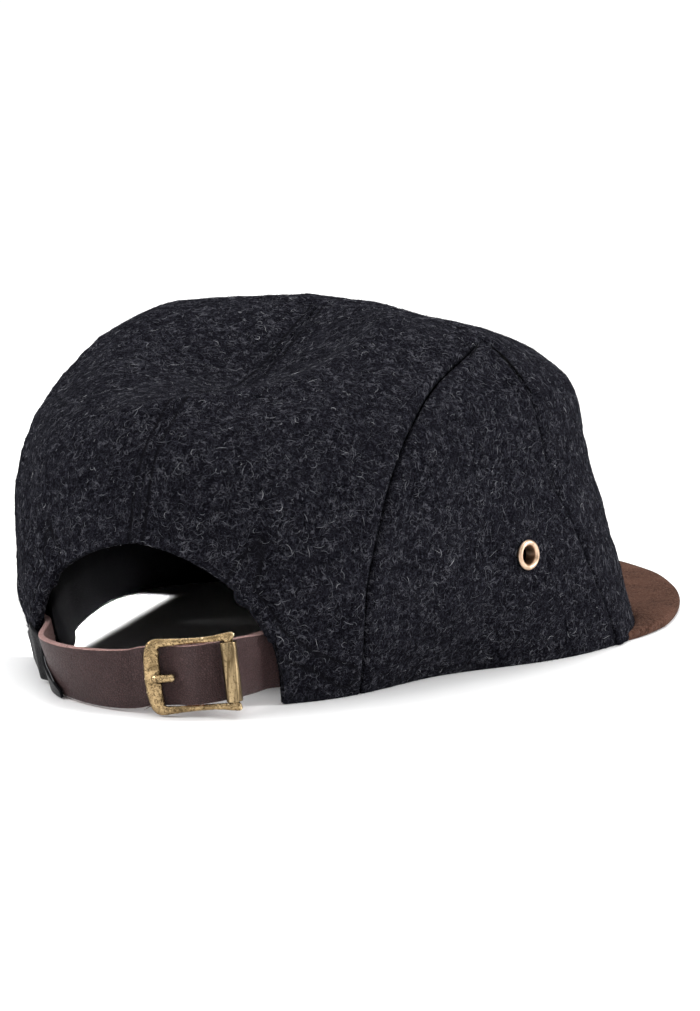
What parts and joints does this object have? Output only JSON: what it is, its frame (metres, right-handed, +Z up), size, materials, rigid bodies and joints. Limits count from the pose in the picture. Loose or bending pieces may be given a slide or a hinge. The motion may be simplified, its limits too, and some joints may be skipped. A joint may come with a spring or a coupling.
{
  "type": "five-panel cap",
  "caption": "Soft wool cap with a short flat suede peak, side eyelets and a buckled leather strap across an open rear arch.",
  "frame": {"origin": "middle of the box round the cap, on the plane that the hem and the peak rest on", "axes": "+Z up through the crown, -Y towards the peak's tip, +Y towards the rear arch, -X towards the wearer's right"},
  "size_m": [0.1788, 0.2768, 0.0997],
  "materials": {
    "wool": "felted charcoal wool melange",
    "black_cloth": "smooth black cloth",
    "suede": "napped brown suede",
    "leather": "satin grained leather",
    "antique_brass": "antiqued, worn on the edges"
  },
  "bodies": {
    "root": {"front_panel": "wool", "side_panel_right": "wool", "side_panel_left": "wool", "rear_panel_right": "wool", "rear_panel_left": "wool", "sweatband": "black_cloth", "brim": "suede", "eyelet_right": "antique_brass", "eyelet_left": "antique_brass", "strap_long": "leather", "strap_short": "leather", "strap_tab": "black_cloth", "buckle_frame": "antique_brass", "buckle_roller": "antique_brass"}
  },
  "joints": []
}
